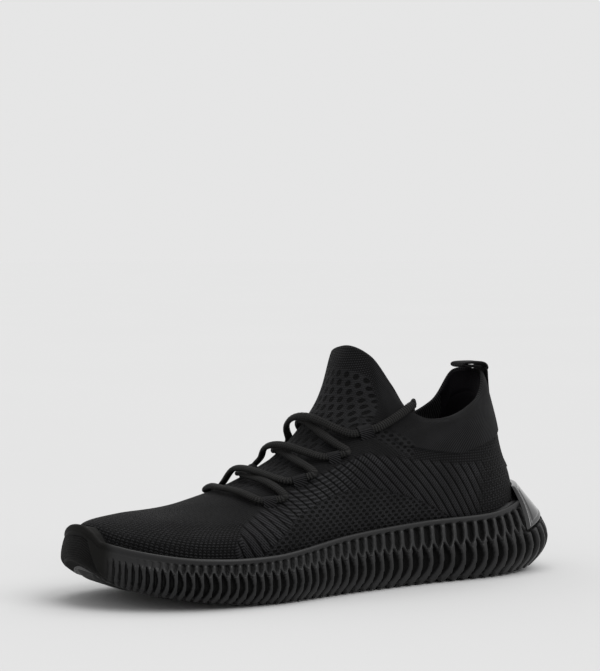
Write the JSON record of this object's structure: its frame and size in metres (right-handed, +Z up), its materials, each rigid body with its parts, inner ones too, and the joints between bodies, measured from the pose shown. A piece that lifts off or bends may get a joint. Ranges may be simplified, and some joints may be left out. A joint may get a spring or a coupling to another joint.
{
  "type": "running shoe",
  "caption": "Left knit running shoe with a sock-like upper, laces through knit tunnels, folding tongue, heel pull tab and a ribbed foam sole.",
  "frame": {"origin": "on the ground under the middle of the shoe's bounding box", "axes": "+X toward the toe, +Y toward the wearer's left, which is the lateral side of this left shoe, +Z up"},
  "size_m": [0.3, 0.1048, 0.132],
  "materials": {
    "knit": "matt black engineered knit",
    "foam": "satin black moulded foam",
    "rubber": "matt black tread rubber",
    "gloss": "glossy black plastic",
    "webbing": "black woven webbing",
    "lining": "smooth purplish-black lining",
    "insole": "black cloth-topped foam footbed",
    "board": "dark grey stiffener board",
    "padding": "dark grey foam padding",
    "lace": "matt black oval woven lace",
    "aglet": "black plastic lace tip"
  },
  "bodies": {
    "root": {"midsole": "foam", "heel_clip": "gloss", "outsole_toe": "rubber", "outsole_ball_lateral": "rubber", "outsole_ball_medial": "rubber", "outsole_heel_lateral": "rubber", "outsole_heel_medial": "rubber", "strobel_board": "board", "sockliner": "insole", "knit_upper": "knit", "toe_puff": "board", "heel_counter": "board", "heel_padding": "padding", "heel_lining": "lining", "heel_strip": "webbing", "lace": "lace", "lace_end_lateral": "lace", "lace_end_medial": "lace", "aglet_lateral": "aglet", "aglet_medial": "aglet"},
    "tongue_flap": {"tongue": "knit"},
    "tab": {"pull_tab": "webbing"}
  },
  "joints": [
    {"name": "tongue_fold", "type": "hinge", "parent": "root", "child": "tongue_flap", "pos_m": [-0.0035, -0.0036, 0.0985], "axis": [0, 1, 0], "range_deg": [0, 40]},
    {"name": "tab_flip", "type": "hinge", "parent": "root", "child": "tab", "pos_m": [-0.113, -0.0006, 0.1185], "axis": [0, -1, 0], "range_deg": [0, 80]}
  ]
}
